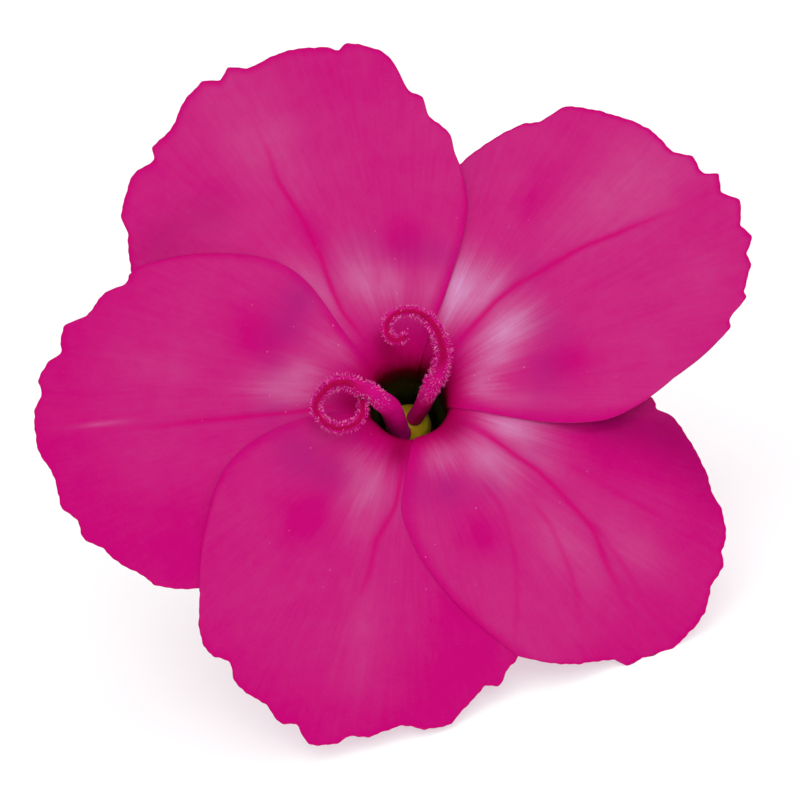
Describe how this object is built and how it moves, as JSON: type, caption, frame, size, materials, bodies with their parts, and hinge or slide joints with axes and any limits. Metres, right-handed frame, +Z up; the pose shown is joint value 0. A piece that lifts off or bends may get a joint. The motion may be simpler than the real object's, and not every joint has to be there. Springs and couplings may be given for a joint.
{
  "type": "carnation flower",
  "caption": "Single magenta carnation flower as picked: toothed petals overlap like a pinwheel round curled styles, held in a green cup, lying on its petal rims and cut stalk.",
  "frame": {"origin": "on the surface that the flower lies on, under the middle of its bounding box", "axes": "+Z up; the flower's face looks towards -Y and upwards, its stalk points to +Y and down; +X to the right as the face is seen"},
  "size_m": [0.0426, 0.0294, 0.0318],
  "materials": {
    "petal": "velvety magenta petal with paler lilac towards the throat",
    "style": "pink hairy style with a bare crimson ridge",
    "cup": "ribbed green calyx, matt",
    "stalk": "smooth green stalk, cut end paler",
    "ovary": "smooth yellow-green ovary",
    "stamen": "dry spent stamens"
  },
  "bodies": {
    "root": {"petal_1": "petal", "petal_2": "petal", "petal_3": "petal", "petal_4": "petal", "petal_5": "petal", "style_right": "style", "style_left": "style", "calyx": "cup", "bract_1": "cup", "bract_2": "cup", "bract_3": "cup", "bract_4": "cup", "ovary": "ovary", "stamens": "stamen", "stalk": "stalk"}
  },
  "joints": []
}
